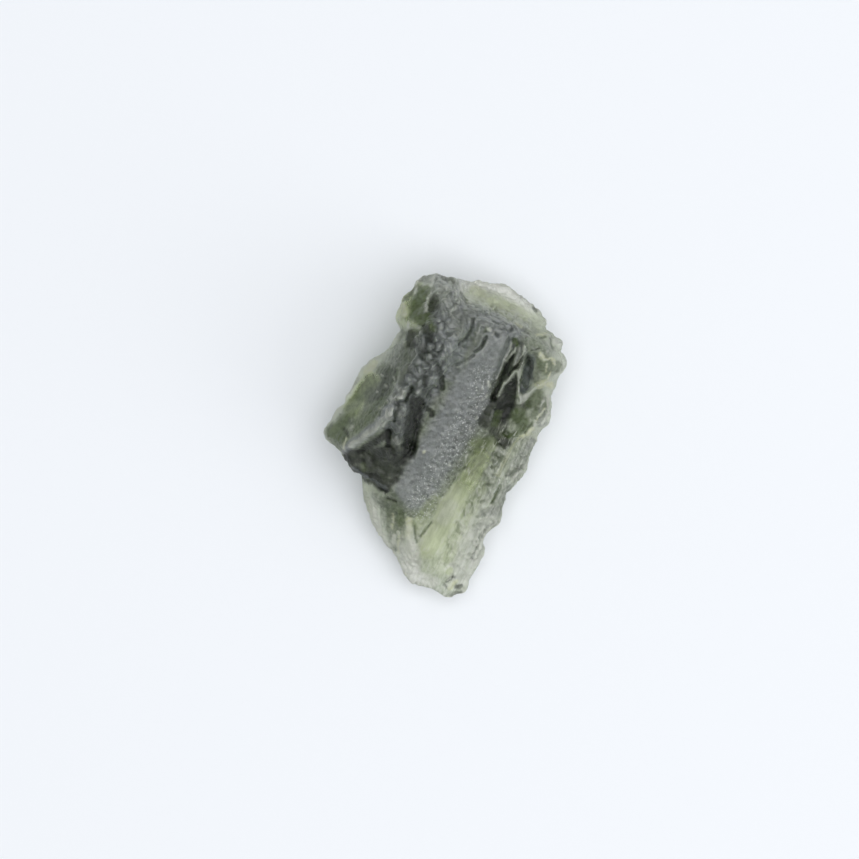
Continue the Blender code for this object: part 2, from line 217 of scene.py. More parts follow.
        ([(1.55, 0.55), (1.5, 0.45)], 0.05, 0.05, "pale", 0.6),
        ([(-1.28, -0.88), (-1.3, -0.98)], 0.07, 0.05, "straw", 0.9),
        ([(0.3, -1.6), (0.2, -1.7)], 0.05, 0.05, "pale", 0.6),
        ([(2.5, 2.6), (2.45, 2.45)], 0.05, 0.05, "pale", 0.8),
        ([(2.25, 2.35), (2.15, 2.25)], 0.05, 0.05, "pale", 0.7),
        ([(1.98, 1.12), (1.92, 1.0)], 0.05, 0.05, "pale", 0.9),
        ([(1.85, 1.9), (1.8, 1.75)], 0.04, 0.05, "pale", 0.7),
        # top right
        ([(1.6, 9.2), (2.8, 8.9), (4.4, 8.2)], 0.75, 0.0, "pale", 0.9),
        ([(2.9, 9.1), (3.9, 8.8), (4.9, 8.25)], 0.32, 0.0, "pale", 1.0),
        ([(4.6, 8.2), (5.2, 7.75)], 0.3, 0.0, "pale", 0.7),
        ([(1.8, 9.0), (2.2, 8.8)], 0.3, 0.0, "straw", 0.4),
        ([(1.7, 8.6), (3.0, 8.2), (4.5, 7.4)], 0.55, 0.0, "lime", 0.55),
        ([(2.8, 8.25), (3.6, 7.95)], 0.38, -0.05, "lime", 0.6),
        ([(3.9, 7.6), (5.2, 7.0), (6.0, 6.5)], 0.6, 0.0, "lime", 0.35),
        ([(5.4, 7.95), (5.55, 7.75)], 0.12, -0.05, "smoke", 0.6),
        ([(3.0, 7.7), (4.2, 7.2), (5.2, 6.5)], 0.4, 0.0, "smoke", 0.2),
        ([(4.3, 6.95), (4.65, 6.75)], 0.1, 0.08, "straw", 0.5),
        ([(4.7, 6.6), (5.0, 6.2)], 0.15, -0.1, "smoke", 0.5),
        ([(5.5, 6.2), (6.3, 6.3)], 0.06, 0.14, "straw", 0.9),
        ([(5.7, 6.0), (6.1, 6.1)], 0.06, -0.10, "moss", 0.8),
        ([(6.75, 5.9), (6.95, 5.75)], 0.16, 0.10, "pale", 0.8),
        ([(6.45, 6.0), (6.55, 5.4)], 0.06, -0.10, "smoke", 0.6),
        ([(6.2, 5.8), (6.4, 5.5)], 0.08, 0.08, "pale", 0.5),
        ([(5.2, 5.5), (5.4, 5.3)], 0.1, 0.1, "grey", 0.6),
        ([(5.2, 5.25), (5.7, 5.35)], 0.07, -0.12, "dark", 0.6),
        # slots, fork and oval pit beside the band, their cuts darkened with painted shade
        ([(4.4, 5.5), (4.0, 4.5), (3.45, 3.5), (3.0, 2.4)], 0.38, -0.10, "dark", 0.8),
        ([(5.4, 4.9), (5.5, 4.2), (5.4, 3.7)], 0.3, 0.0, "smoke", 0.6),
        ([(4.02, 5.65), (3.5, 4.5), (3.13, 3.5), (2.88, 2.7)], 0.08, 0.10, "grey", 0.9),
        ([(4.02, 5.65), (3.5, 4.5), (3.13, 3.5)], 0.05, 0.05, "pale", 0.35),
        ([(4.2, 5.85), (4.3, 5.6)], 0.16, -0.10, "moss", 1.0),
        ([(4.0, 5.05), (3.8, 4.4), (3.42, 3.65), (3.08, 2.9), (2.9, 2.4)], 0.19, -0.35, "dark", 0.88),
        ([(4.25, 5.4), (3.95, 5.05), (3.68, 4.6)], 0.06, 0.22, "pale", 0.8),
        ([(4.5, 5.45), (4.3, 4.9), (4.12, 4.35)], 0.11, 0.18, "grey", 0.75),
        ([(4.8, 5.5), (4.6, 5.0), (4.38, 4.5)], 0.055, 0.18, "pale", 0.65),
        ([(4.62, 4.88), (4.4, 4.38), (4.05, 4.02), (3.8, 3.8)], 0.09, -0.35, "dark", 0.95),
        ([(5.08, 4.75), (4.98, 3.9), (4.8, 2.95)], 0.34, -0.40, "slate", 0.95),
        ([(5.05, 4.8), (5.2, 4.2), (5.15, 3.7)], 0.17, -0.10, "dark", 0.75),
        ([(4.85, 3.6), (4.8, 3.1)], 0.12, 0.10, "steel", 0.5),
        ([(5.0, 4.95), (4.85, 4.6)], 0.15, 0.0, "smoke", 0.6),
        # right hollow and lobe; the hollow is painted dark, partly the glass's own thick dark green and
        # partly painted shade
        ([(4.1, 3.35), (3.95, 2.7), (3.7, 2.0), (3.3, 1.3)], 0.5, -0.40, "dark", 0.97),
        ([(3.0, 2.1), (2.6, 1.5), (2.3, 0.9)], 0.36, -0.12, "dark", 0.8),
        ([(3.5, 1.6), (3.2, 0.7), (3.4, -0.2)], 0.6, -0.20, "dark", 0.72),
        ([(4.9, 2.0), (4.3, 2.0), (4.0, 1.5)], 0.35, -0.10, "dark", 0.75),
        ([(4.5, 1.3), (4.9, 0.6)], 0.5, 0.0, "moss", 0.85),
        ([(3.2, 1.4), (3.0, 0.8)], 0.22, 0.0, "moss", 0.7),
        ([(3.7, 0.15), (4.3, 0.2)], 0.22, -0.10, "moss", 0.9),
        ([(3.1, -0.3), (3.7, -0.4)], 0.2, -0.10, "dark", 0.7),
        ([(3.65, 0.9), (3.6, 0.4)], 0.07, 0.1, "smoke", 0.7),
        ([(2.9, 1.6), (2.7, 1.1)], 0.06, 0.12, "grey", 0.8),
        ([(5.2, 2.1), (5.6, 2.6), (5.9, 2.0), (5.6, 1.3)], 0.4, 0.0, "moss", 0.75),
        ([(5.9, 1.5), (5.9, 0.9)], 0.3, 0.0, "grey", 0.6),
        ([(6.0, 2.35), (5.8, 1.9)], 0.07, 0.15, "pale", 0.8),
        ([(6.3, 2.6), (6.2, 1.7)], 0.06, 0.15, "pale", 0.7),
        ([(6.0, 1.75), (5.6, 1.2), (5.5, 0.95)], 0.06, 0.15, "straw", 0.8),
        ([(6.3, 1.5), (6.2, 1.2), (5.95, 0.85)], 0.07, 0.15, "pale", 0.95),
        ([(5.5, 0.75), (5.48, 0.65)], 0.08, 0.1, "pale", 0.9),
        ([(5.9, 4.6), (6.2, 4.1), (6.9, 4.3)], 0.42, -0.05, "moss", 0.65),
        ([(7.2, 4.7), (7.3, 4.4), (7.0, 3.9)], 0.14, 0.0, "pale", 0.4),
        ([(5.75, 4.98), (5.87, 4.88)], 0.15, 0.15, "straw", 1.0),
        ([(6.0, 4.7), (6.4, 4.78), (6.6, 4.5)], 0.09, 0.18, "straw", 0.95),
        ([(6.55, 4.6), (6.6, 4.5)], 0.14, 0.1, "straw", 1.0),
        ([(6.15, 4.4), (6.05, 4.0)], 0.055, 0.12, "straw", 0.7),
        ([(6.38, 3.95), (6.25, 3.55)], 0.065, 0.15, "straw", 1.0),
        ([(4.42, 4.1), (4.1, 3.85), (3.85, 3.55), (3.5, 3.1), (3.2, 2.55)], 0.09, 0.32, "pale", 0.8),
        ([(4.42, 4.1), (4.62, 4.55), (4.85, 5.35)], 0.09, 0.22, "grey", 0.9),
        ([(4.42, 4.1), (4.6, 4.5)], 0.08, 0.05, "pale", 0.7),
        ([(4.4, 4.05), (4.4, 3.3), (4.43, 2.8), (4.52, 2.1)], 0.09, 0.34, "pale", 0.85),
        ([(4.52, 2.15), (4.8, 2.45), (5.2, 2.85), (5.6, 3.15)], 0.16, 0.28, "pale", 0.75),
        ([(5.6, 3.2), (6.1, 3.25), (6.4, 3.15)], 0.2, 0.18, "straw", 0.85),
        # right rim
        ([(5.4, 0.5), (5.0, 0.15), (4.6, 0.0)], 0.09, 0.20, "straw", 1.0),
        ([(4.6, 0.0), (4.2, -0.42), (3.88, -0.95)], 0.07, 0.20, "straw", 0.85),
        ([(4.7, -0.25), (4.3, -0.8)], 0.15, 0.0, "moss", 0.3),
        ([(3.88, -0.95), (3.58, -1.5), (3.2, -2.3)], 0.13, 0.15, "straw", 0.6),
        ([(3.3, -2.6), (3.05, -3.3), (2.75, -3.95)], 0.09, 0.22, "pale", 1.0),
        ([(3.05, -2.7), (2.85, -3.3), (2.6, -3.9)], 0.05, -0.05, "smoke", 0.2),
        ([(3.35, -3.0), (3.15, -3.5), (2.88, -4.0)], 0.09, -0.25, "moss", 0.85),
        ([(4.5, -1.95), (4.1, -2.15), (3.8, -2.3)], 0.17, -0.10, "smoke", 0.45),
        ([(5.2, -0.3), (4.7, -1.1)], 0.2, 0.0, "grey", 0.5),
        ([(4.95, -0.25), (4.8, -0.55)], 0.07, 0.05, "pale", 0.7),
        ([(4.1, -1.7), (4.05, -1.85)], 0.06, 0.05, "pale", 1.0),
        ([(3.9, -3.1), (3.5, -4.0), (3.3, -4.8)], 0.13, 0.0, "grey", 0.5),
        ([(4.55, -2.15), (4.2, -2.5), (4.0, -2.85)], 0.08, 0.10, "pale", 0.9),
        ([(3.1, -5.15), (2.75, -5.5), (2.3, -6.0), (2.2, -6.6), (1.8, -7.5), (1.62, -7.95)],
         0.09, 0.12, "pale", 1.0),
        ([(2.95, -5.2), (2.6, -5.55), (2.15, -6.05), (2.05, -6.6), (1.65, -7.5)],
         0.07, -0.08, "smoke", 0.5),
        ([(3.22, -5.2), (2.9, -5.65), (2.45, -6.15), (2.35, -6.6), (1.95, -7.55)],
         0.06, -0.05, "smoke", 0.4),
        # scallops beside the long window
        ([(3.2, -0.75), (3.7, -1.0)], 0.2, 0.10, "pale", 0.5),
        ([(2.95, -0.95), (3.2, -1.3), (3.6, -1.6)], 0.091, -0.18, "moss", 0.4),
        ([(3.35, -1.05), (3.55, -1.35)], 0.065, -0.12, "smoke", 0.3),
        ([(2.65, -1.45), (2.9, -1.2), (3.15, -1.5), (2.9, -1.75)], 0.07, 0.15, "pale", 0.4),
        ([(2.9, -1.5), (2.95, -1.5)], 0.104, -0.096, "smoke", 0.25),
        ([(2.75, -1.85), (3.25, -1.95)], 0.091, -0.16, "moss", 0.4),
        ([(2.5, -2.1), (2.75, -2.45), (2.8, -2.8)], 0.12, 0.10, "pale", 0.45),
        ([(2.4, -2.95), (2.9, -2.9)], 0.078, -0.14, "moss", 0.3),
        ([(1.85, -3.1), (2.0, -3.6)], 0.07, 0.14, "pale", 0.8),
        ([(2.3, -3.4), (2.4, -3.7)], 0.22, 0.0, "pale", 0.4),
        ([(2.7, -3.25), (2.75, -3.35)], 0.07, 0.1, "pale", 0.7),
        ([(2.05, -4.0), (2.35, -3.98)], 0.078, -0.13, "moss", 0.45),
        ([(1.35, -4.6), (1.45, -4.15)], 0.1, 0.14, "pale", 0.7),
        ([(1.75, -4.6), (1.8, -4.2)], 0.07, 0.12, "pale", 0.45),
        ([(1.58, -4.7), (1.62, -4.1)], 0.052, -0.096, "moss", 0.25),
        ([(1.1, -4.5), (1.15, -4.85)], 0.078, -0.13, "moss", 0.4),
        ([(2.0, -4.95), (2.4, -4.7)], 0.078, -0.13, "moss", 0.35),
        ([(2.3, -4.7), (3.0, -4.5)], 0.24, 0.0, "grey", 0.65),
        ([(0.65, -5.3), (0.7, -5.75), (1.05, -5.98)], 0.0715, -0.13, "moss", 0.35),
        ([(0.95, -5.2), (1.05, -5.7)], 0.2, 0.10, "pale", 0.5),
        ([(1.9, -5.6), (2.3, -5.4)], 0.26, -0.08, "smoke", 0.25),
        ([(1.3, -6.1), (1.9, -6.5)], 0.25, 0.05, "pale", 0.5),
        ([(1.6, -6.4), (1.85, -6.42)], 0.065, -0.08, "smoke", 0.3),
        ([(0.35, -6.0), (0.15, -6.8)], 0.078, -0.08, "moss", 0.17),
        ([(1.5, -7.2), (1.7, -7.6)], 0.104, -0.064, "smoke", 0.2),
        ([(0.9, -6.4), (0.8, -7.6)], 0.2, 0.0, "pale", 0.3),
        # long window
        ([(2.4, -0.9), (1.6, -1.9)], 0.5, 0.0, "moss", 0.25),
        ([(1.9, -0.5), (2.7, -0.5)], 0.44, -0.05, "olive", 1.0),
        ([(1.9, -0.45), (2.7, -0.4)], 0.5, 0.0, "moss", 0.62),
        ([(2.1, -1.3), (1.5, -2.4), (0.8, -3.4)], 0.58, -0.05, "olive", 0.95),
        ([(2.1, -1.2), (1.7, -2.0)], 0.5, 0.0, "moss", 0.3),
        ([(-0.6, -3.9), (-1.3, -4.8), (-1.9, -5.6)], 0.4, 0.0, "olive", 0.5),
        ([(-0.6, -3.9), (-1.3, -4.8)], 0.35, 0.0, "moss", 0.25),
        ([(0.8, -3.4), (0.2, -4.5), (-0.3, -5.5), (-0.7, -6.3)], 0.7, -0.08, "lime", 0.9),
        ([(-0.7, -6.3), (-0.8, -7.9)], 0.85, 0.0, "lime", 0.4),
        ([(-0.8, -5.8), (-1.15, -6.9)], 0.55, 0.0, "lime", 0.9),
        ([(0.3, -4.2), (-0.1, -5.0)], 0.4, 0.0, "pale", 0.4),
        ([(1.4, -0.9), (1.7, -0.9), (1.75, -1.1)], 0.084, -0.08, "moss", 0.52),
        ([(1.2, -1.2), (1.15, -1.6)], 0.05, 0.1, "pale", 0.3),
        ([(1.2, -1.85), (0.8, -2.05)], 0.096, -0.096, "moss", 0.52),
        ([(0.6, -2.45), (0.2, -3.1)], 0.084, -0.096, "moss", 0.39),
        ([(-0.4, -3.6), (-0.2, -3.55)], 0.072, -0.08, "moss", 0.52),
        ([(-1.35, -3.65), (-1.1, -3.7)], 0.096, -0.096, "moss", 0.52),
        ([(-0.85, -5.2), (-1.3, -5.75), (-1.55, -6.05)], 0.072, -0.16, "moss", 0.62),
        ([(2.25, -0.9), (2.4, -0.88)], 0.072, -0.064, "moss", 0.45),
        # left wing and blade
        ([(-3.7, 3.8), (-4.0, 2.6), (-5.2, 1.2), (-6.6, 0.3)], 0.7, 0.0, "moss", 0.5),
        ([(-4.5, 3.5), (-5.2, 2.6), (-5.7, 1.7)], 0.5, 0.0, "olive", 0.9),
        ([(-4.5, 3.4), (-5.1, 2.6)], 0.42, 0.0, "moss", 0.7),
        ([(-5.4, 2.3), (-5.8, 1.5)], 0.42, 0.0, "moss", 0.7),
        ([(-6.3, 0.9), (-6.8, 0.3)], 0.5, 0.0, "moss", 0.75),
        ([(-6.2, 0.0), (-6.6, -0.5)], 0.4, 0.0, "moss", 0.8),
        ([(-3.8, 2.1), (-4.6, 1.3), (-5.5, 0.6)], 0.35, 0.0, "moss", 0.5),
        ([(-4.4, 4.5), (-4.8, 4.0)], 0.22, 0.05, "straw", 0.65),
        ([(-4.6, 2.5), (-3.8, 2.9), (-3.4, 4.0)], 0.4, -0.08, "smoke", 0.6),
        ([(-5.95, 2.8), (-5.4, 3.5)], 0.12, 0.0, "grey", 0.6),
        ([(-3.65, 3.12), (-3.6, 3.08)], 0.08, 0.08, "pale", 0.5),
        ([(-3.15, 3.55), (-3.1, 3.5)], 0.07, 0.08, "pale", 0.5),
        ([(-3.45, 2.1), (-3.42, 2.0)], 0.06, 0.08, "pale", 0.8),
        ([(-4.0, 1.75), (-3.9, 1.7)], 0.07, 0.05, "straw", 0.4),
        ([(-3.9, 3.75), (-3.85, 3.7)], 0.05, 0.06, "pale", 0.7),
        ([(-3.3, 4.3), (-3.25, 4.2)], 0.05, 0.06, "pale", 0.6),
        ([(-4.15, 2.75), (-4.1, 2.7)], 0.05, 0.06, "pale", 0.6),
        ([(-2.75, 4.6), (-2.7, 4.5)], 0.06, 0.06, "grey", 0.8),
        ([(-5.85, 1.2), (-5.75, 0.8)], 0.08, -0.05, "smoke", 0.5),
        ([(-6.15, 0.45), (-5.95, 0.1)], 0.13, -0.12, "dark", 0.6),
        ([(-5.75, 0.5), (-5.7, 0.65)], 0.07, 0.08, "pale", 0.5),
        ([(-3.3, 1.65), (-3.9, 0.85), (-4.8, 0.2), (-5.6, -0.4), (-6.1, -0.85)], 0.3, 0.22, "steel", 1.0),
        ([(-3.35, 1.5), (-3.9, 0.75), (-4.9, 0.05), (-5.7, -0.55)], 0.2, 0.08, "pale", 0.5),
        ([(-6.05, -0.1), (-6.2, -0.35), (-6.27, -0.65)], 0.08, 0.12, "straw", 1.0),
        ([(-6.0, -1.15), (-6.0, -1.35)], 0.12, 0.05, "pale", 0.6),
        # dark face, turned from the light: painted shade
        ([(-3.42, 0.25), (-3.5, -0.5)], 0.24, -0.20, "dark", 1.0),
        ([(-3.5, 0.2), (-4.3, -0.3), (-5.3, -0.85)], 0.22, -0.15, "dark", 0.93),
        ([(-5.6, -1.2), (-4.6, -1.1), (-3.4, -1.0), (-2.7, -1.3)], 0.48, -0.15, "dark", 0.92),
        ([(-4.9, -1.8), (-4.0, -2.0), (-3.1, -2.0)], 0.5, -0.10, "dark", 0.86),
        ([(-4.6, -2.35), (-3.9, -2.65), (-3.4, -2.8), (-3.1, -2.6)], 0.24, -0.10, "dark", 0.85),
        ([(-6.15, -1.3), (-5.6, -1.95), (-4.9, -2.45), (-4.2, -2.85), (-3.6, -3.15)],
         0.28, 0.0, "dark", 0.9),
        ([(-5.6, -1.9), (-5.0, -2.35), (-4.3, -2.75), (-3.7, -3.1)], 0.09, 0.06, "slate", 0.8),
        ([(-4.0, -3.05), (-3.6, -3.28)], 0.12, -0.3, "dark", 0.8),
        ([(-3.55, -3.75), (-3.05, -3.98)], 0.08, -0.25, "dark", 0.7),
        ([(-4.0, -0.15), (-4.0, -0.35)], 0.15, 0.20, "smoke", 0.5),
        ([(-3.5, -0.85), (-3.45, -1.2)], 0.16, 0.22, "smoke", 0.6),
        ([(-2.9, -0.7), (-2.85, -0.95)], 0.18, 0.22, "smoke", 0.6),
        ([(-4.8, -1.3), (-4.7, -1.6)], 0.2, 0.22, "smoke", 0.6),
        ([(-4.2, -2.0), (-4.0, -2.2)], 0.18, 0.18, "smoke", 0.4),
        ([(-5.05, -1.7), (-4.95, -2.0)], 0.1, -0.1, "moss", 0.6),
        ([(-4.7, -0.8), (-4.6, -0.9)], 0.12, 0.15, "smoke", 0.4),
        # flutes on the lower left
        ([(-3.25, -4.8), (-3.25, -5.6)], 0.07, 0.14, "straw", 0.7),
        ([(-3.2, -6.1), (-3.15, -6.6)], 0.13, 0.12, "pale", 0.8),
        ([(-3.25, -6.8), (-3.1, -7.0)], 0.12, -0.05, "smoke", 0.4),
        ([(-2.9, -5.8), (-2.85, -7.1)], 0.07, 0.14, "straw", 0.7),
        ([(-2.7, -4.6), (-2.7, -5.9)], 0.22, -0.2, "moss", 0.5),
        ([(-3.6, -4.2), (-3.55, -5.8)], 0.12, -0.15, "moss", 0.3),
        ([(-2.75, -6.2), (-2.65, -6.6)], 0.1, -0.1, "smoke", 0.4),
        ([(-2.2, -5.1), (-2.3, -6.0), (-2.1, -7.0)], 0.18, 0.15, "straw", 0.8),
        ([(-2.3, -6.0), (-2.2, -8.6)], 0.62, 0.0, "pale", 0.5),
        ([(-2.2, -6.9), (-2.1, -8.6)], 0.6, 0.0, "pale", 0.9),
        ([(-1.9, -8.6), (-0.8, -8.9)], 0.4, 0.0, "pale", 0.8),
        ([(-4.5, -4.0), (-4.3, -5.2), (-3.95, -6.3), (-3.3, -7.4)], 0.25, 0.0, "pale", 0.85),
        ([(-1.9, -5.4), (-1.8, -6.4)], 0.09, -0.1, "moss", 0.5),
        ([(-4.3, -3.6), (-3.9, -4.2)], 0.25, 0.0, "smoke", 0.3),
        # tip
        ([(0.05, -8.95), (0.5, -8.62)], 0.09, -0.2, "dark", 0.85),
        ([(0.12, -8.85), (0.3, -8.72)], 0.05, 0.1, "pale", 1.0),
        ([(-0.1, -9.1), (0.1, -9.3)], 0.08, -0.1, "smoke", 0.6),
        ([(0.3, -9.3), (0.6, -8.95)], 0.12, 0.08, "straw", 0.9),
        ([(0.7, -9.3), (0.95, -9.2)], 0.13, -0.15, "smoke", 0.8),
        ([(0.3, -9.7), (0.9, -9.55)], 0.12, -0.05, "smoke", 0.6),
        ([(-0.8, -8.7), (-0.72, -8.95)], 0.05, 0.08, "pale", 1.0),
        ([(0.15, -8.35), (0.3, -8.2)], 0.2, 0.0, "olive", 0.6),
    ],
}


# the knobs as marks, all creases of painted shade first, so that no crease crosses a dome
def knobMarks():
    across, along = stone["knobLength"]
    made = []
    for widen, height, finishAndShade, strength in stone["knobLayers"]:
        for (x, y), halfWidth in stone["knobs"]:
            path = [(x, y), (x + across, y + along)]
            made.append((path, halfWidth * widen, height, finishAndShade, strength))
    return made


def smoothStep(low, high, value):
    share = np.clip((value - low) / (high - low), 0, 1)
    return share * share * (3 - 2 * share)


def distanceToPath(points, path):
    nearest = np.full(len(points), np.inf)
    for start, end in zip(path, path[1:]):
        start, end = np.array(start), np.array(end)
        along = end - start
        share = np.clip((points[:, :2] - start) @ along / (along @ along), 0, 1)
        gap = points[:, :2] - start - share[:, None] * along
        nearest = np.minimum(nearest, np.hypot(gap[:, 0], gap[:, 1]))
    return nearest


# one inside a mark and nought outside it, with a soft edge that is wider round a wide mark
def paintedOver(points, path, halfWidth):
    soft = 0.05 + 0.22 * halfWidth
    return 1 - smoothStep(halfWidth - soft, halfWidth + soft, distanceToPath(points, path))


# where any mark of these finishes lies, however high it is
def markedAs(points, finishesAndShades):
    marked = np.zeros(len(points))
    for path, halfWidth, _, finishAndShade, strength in stone["marks"]:
        if finishAndShade in finishesAndShades:
            marked = np.maximum(marked, paintedOver(points, path, halfWidth) * strength)
    return marked


def zone(points, name):
    path, halfWidth = stone["zones"][name]
    return 1 - smoothStep(*stone["zoneEdge"], distanceToPath(points, path) / halfWidth)


def readPoints(mesh):
    points = np.empty(len(mesh.vertices) * 3)
    normals = np.empty(len(mesh.vertices) * 3)
    mesh.vertices.foreach_get("co", points)
    mesh.vertices.foreach_get("normal", normals)
    return points.reshape(-1, 3), normals.reshape(-1, 3)


def writePoints(mesh, points):
    mesh.vertices.foreach_set("co", points.ravel())
    mesh.update()


def readEdges(mesh):
    edges = np.empty(len(mesh.edges) * 2, np.int64)
    mesh.edges.foreach_get("vertices", edges)
    return edges.reshape(-1, 2)


# moves each point halfway to the mean of its neighbours, again and again
def relax(points, edges, rounds):
    a, b = edges[:, 0], edges[:, 1]
    count = np.bincount(edges.ravel(), minlength=len(points)).astype(float)
    for _ in range(rounds):
        mean = np.empty_like(points)
        for axis in range(points.shape[1]):
            value = points[:, axis]
            total = np.bincount(a, value[b], len(points)) + np.bincount(b, value[a], len(points))
            mean[:, axis] = total / count
        points = (points + mean) / 2
    return points


def bakeModifiers(obj):
    bpy.context.view_layer.update()
    graph = bpy.context.evaluated_depsgraph_get()
    obj.data = bpy.data.meshes.new_from_object(obj.evaluated_get(graph))
    obj.modifiers.clear()


def addSkin(obj, step):
    skin = obj.modifiers.new("skin", "REMESH")
    skin.mode = "VOXEL"
    skin.voxel_size = step
    bakeModifiers(obj)


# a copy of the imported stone, welded, in millimetres, under an even skin
def copyStone(name):
    shape = bmesh.new()
    shape.from_mesh(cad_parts["moldavite"].data)
    bmesh.ops.remove_doubles(shape, verts=shape.verts, dist=0.001 * mm)
    bmesh.ops.scale(shape, vec=(1 / mm, 1 / mm, 1 / mm), verts=shape.verts)
    mesh = bpy.data.meshes.new(name)
    shape.to_mesh(mesh)
    shape.free()
    obj = bpy.data.objects.new(name, mesh)
    bpy.context.scene.collection.objects.link(obj)
    addSkin(obj, stone["roughStep"])
    return obj


# bends straight paths a little, so that no edge runs like a ruler
def sway(points, size, reach):
    shifts = [clouds(points, size, shift) for shift in relief["shifts"][:2]]
    return points + np.stack(shifts + [np.zeros(len(points))], axis=1) * reach


def carveMarks(obj):
    points, _ = readPoints(obj.data)
    points = relax(points, readEdges(obj.data), stone["meltRounds"])
    for place, reach, (across, up) in stone["grabs"]:
        hold = 1 - smoothStep(*stone["grabEdge"], np.hypot(*(points[:, :2] - place).T) / reach)
        points[:, :2] += hold[:, None] * (across, up)
    writePoints(obj.data, points)
    points, normals = readPoints(obj.data)
    up = smoothStep(*stone["facing"]["carved"], normals[:, 2])
    bent = sway(points, *stone["sway"])
    for path, halfWidth, height, _, _ in stone["marks"]:
        if height:
            slope = 1 - smoothStep(*stone["markEdge"], distanceToPath(bent, path) / halfWidth)
            points[:, 2] += slope * height * up
    writePoints(obj.data, points)
    addSkin(obj, stone["skinStep"])


# distance to the nearest and next cell middle, and a number that is the same all over a cell
def cells(places, size):
    found = np.empty((len(places), 3))
    for index, place in enumerate(places):
        gaps, middles = noise.voronoi(Vector(place) / size)
        found[index] = gaps[0], gaps[1], noise.noise(middles[0] * 5.3)
    return found.T


def clouds(places, size, shift=0.0):
    offset = Vector((shift, shift, shift))
    return np.array([noise.noise(Vector(place) / size + offset) for place in places])


# rounded knobs with creases between them; minus the same gives bowls with sharp rims
def domes(places, size):
    near, second, _ = cells(places, size)
    return 1 - (near / np.maximum(second, 1e-6)) ** 2


# Fine relief: size across and depth in millimetres, then where in the noise its clouds are taken.
relief = {
    "shifts": (0.0, 31.0, 67.0),
    "bend": (0.6, 0.3),
    "grit": (0.3, 0.06, 0.0),
    "fineGrit": (0.17, 0.05, 5.0),
    "pits": (0.3, 0.06),
    "pitEdge": (0.25, 0.6),
    "pitChance": (-0.1, 0.15),
    "etch": (0.36, 0.03),
    "knobs": (0.9, 0.22),
    "smallKnobs": (0.55, 0.12),
    "scallops": (0.62, 0.09),
    "scallopStretch": (1, 0.8, 1),
    "ribs": (0.24, 0.05, 17.0),
    "ribStretch": (1.0, 0.16, 0.5),
    "flutes": (0.3, 0.16, 11.0),
    "fluteStretch": (1.0, 0.22, 1.0),
}


def cloudRelief(places, name):
    size, depth, shift = relief[name]
    return clouds(places, size, shift) * depth


# domes that stand up from the level, or hang below it
def domeRelief(places, name, level):
    size, depth = relief[name]
    return (domes(places, size) - level) * depth


def pitRelief(places):
    size, depth = relief["pits"]
    near, _, chance = cells(places, size)
    return (1 - smoothStep(*relief["pitEdge"], near)) * smoothStep(*relief["pitChance"], chance) * depth


# places turned so that their second axis runs along the long window
def turned(points):
    lean = math.radians(stone["lean"])
    across = points[:, 0] * math.cos(lean) - points[:, 1] * math.sin(lean)
    along = points[:, 0] * math.sin(lean) + points[:, 1] * math.cos(lean)
    return np.stack([across, along, points[:, 2]], axis=1)


def addRelief(obj):
    points, _ = readPoints(obj.data)
    writePoints(obj.data, relax(points, readEdges(obj.data), stone["smoothRounds"]))
    points, normals = readPoints(obj.data)
    up = smoothStep(*stone["facing"]["worn"], normals[:, 2])
    masks = {name: zone(points, name) * up for name in stone["zones"]}
    size, reach = relief["bend"]
    drift = np.stack([clouds(points, size, shift) for shift in relief["shifts"]], axis=1)
    bent = points + drift * reach
    windows = markedAs(points, ("olive", "lime")) * up
    calm = np.maximum.reduce([masks[name] for name in ("longWindow", "leftWindow", "blade")] + [windows])
    knobby = np.maximum.reduce([masks["ridge"], masks["shoulder"] * 0.6, masks["darkFace"] * 0.6])
    knobby *= 1 - 0.75 * markedAs(points, ("dark",))
    rough = 1 - 0.8 * calm - 0.6 * masks["band"]
    depth = cloudRelief(bent, "grit") * rough
    depth += cloudRelief(points, "fineGrit") * rough * (1 - 0.7 * knobby)
    depth -= pitRelief(points) * np.maximum(masks["bandPits"], masks["topRight"])
    depth += domeRelief(bent, "etch", 1) * rough * (1 - knobby) * (1 - masks["band"])
    depth += (domeRelief(bent, "knobs", 0.5) + domeRelief(bent, "smallKnobs", 0.5)) * knobby
    scallops = domeRelief(bent * relief["scallopStretch"], "scallops", 0)
    depth -= scallops * masks["scallops"] * (1 - masks["longWindow"])
    ribs = cloudRelief(turned(points) * relief["ribStretch"], "ribs")
    depth += ribs * masks["streaks"] * (1 - 0.8 * calm)
    size, deep, shift = relief["flutes"]
    folds = clouds(bent * relief["fluteStretch"], size, shift)
    depth += (0.5 - np.abs(folds)) * deep * np.maximum(masks["lowerLeft"], masks["rightRim"])
    fade = smoothStep(*stone["footFade"], points[:, 2])
    writePoints(obj.data, points + normals * (depth * fade)[:, None])


def thinOut(obj):
    decimate = obj.modifiers.new("fewer faces", "DECIMATE")
    decimate.ratio = min(1.0, stone["triangles"] / (2 * len(obj.data.polygons)))
    bakeModifiers(obj)


def storeMask(mesh, name, values):
    attribute = mesh.attributes.new(name, "FLOAT", "POINT")
    attribute.data.foreach_set("value", np.clip(values, 0, 1).astype(np.float32))


def storeColour(mesh, name, colours):
    attribute = mesh.attributes.new(name, "FLOAT_VECTOR", "POINT")
    attribute.data.foreach_set("vector", colours.ravel().astype(np.float32))


# height of glass over or under each point, in millimetres, from just inside the skin
def glassThrough(obj, points, normals):
    inside = 0.01
    tree = BVHTree.FromObject(obj, bpy.context.evaluated_depsgraph_get())
    through = np.zeros(len(points))
    for index, (point, normal) in enumerate(zip(points, normals)):
        way = Vector((0, 0, -1.0 if normal[2] > 0 else 1.0))
        place = Vector(point - normal * inside)
        hit = tree.ray_cast(place, way)[3]
        through[index] = hit or 0.0
    return through


